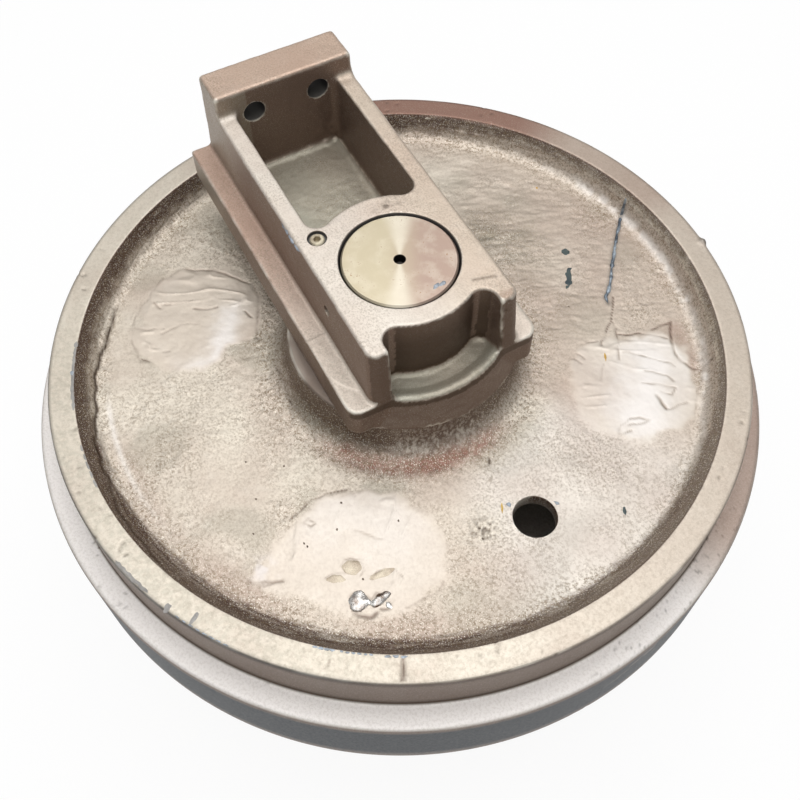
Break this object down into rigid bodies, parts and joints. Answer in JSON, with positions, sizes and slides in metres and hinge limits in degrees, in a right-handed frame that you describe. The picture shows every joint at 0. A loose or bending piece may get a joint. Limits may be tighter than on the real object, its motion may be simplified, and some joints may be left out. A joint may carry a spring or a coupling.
{
  "type": "excavator front idler",
  "caption": "Hollow cast idler wheel with a centre flange, turning on a sealed shaft held by a cast yoke bracket with guide rails on each side.",
  "frame": {"origin": "centre of the wheel, on the shaft axis and halfway between the rim faces", "axes": "+Z along the shaft, upwards as the object lies in the picture; +X from the shaft towards the yoke ends of both brackets; +Y towards the left guide rails"},
  "size_m": [0.695, 0.695, 0.4674],
  "materials": {
    "wheel_paint": "metallic bronze paint over a sand-cast steel surface",
    "bracket_paint": "metallic bronze paint over a cast steel surface",
    "shaft_paint": "thin bronze paint over turned steel",
    "bushing_bronze": "bored bronze on a steel shell",
    "seal_iron": "lapped alloy cast iron",
    "seal_rubber": "matt nitrile rubber",
    "pin_steel": "drawn steel",
    "plug_steel": "phosphated steel with overspray"
  },
  "bodies": {
    "brackets": {"idler_shaft": "shaft_paint", "upper_bracket": "bracket_paint", "lower_bracket": "bracket_paint", "upper_bracket_seal_ring": "seal_iron", "lower_bracket_seal_ring": "seal_iron", "upper_bracket_toric_ring": "seal_rubber", "lower_bracket_toric_ring": "seal_rubber", "upper_shaft_ring": "seal_rubber", "lower_shaft_ring": "seal_rubber", "upper_lock_pin": "pin_steel", "lower_lock_pin": "pin_steel", "upper_oil_plug": "plug_steel", "lower_oil_plug": "plug_steel"},
    "wheel": {"idler_wheel": "wheel_paint", "upper_bushing": "bushing_bronze", "lower_bushing": "bushing_bronze", "upper_hub_seal_ring": "seal_iron", "lower_hub_seal_ring": "seal_iron", "upper_hub_toric_ring": "seal_rubber", "lower_hub_toric_ring": "seal_rubber"}
  },
  "joints": [
    {"name": "wheel_spin", "type": "hinge", "parent": "brackets", "child": "wheel", "pos_m": [0, 0, 0], "axis": [0, 0, 1], "continuous": true}
  ]
}
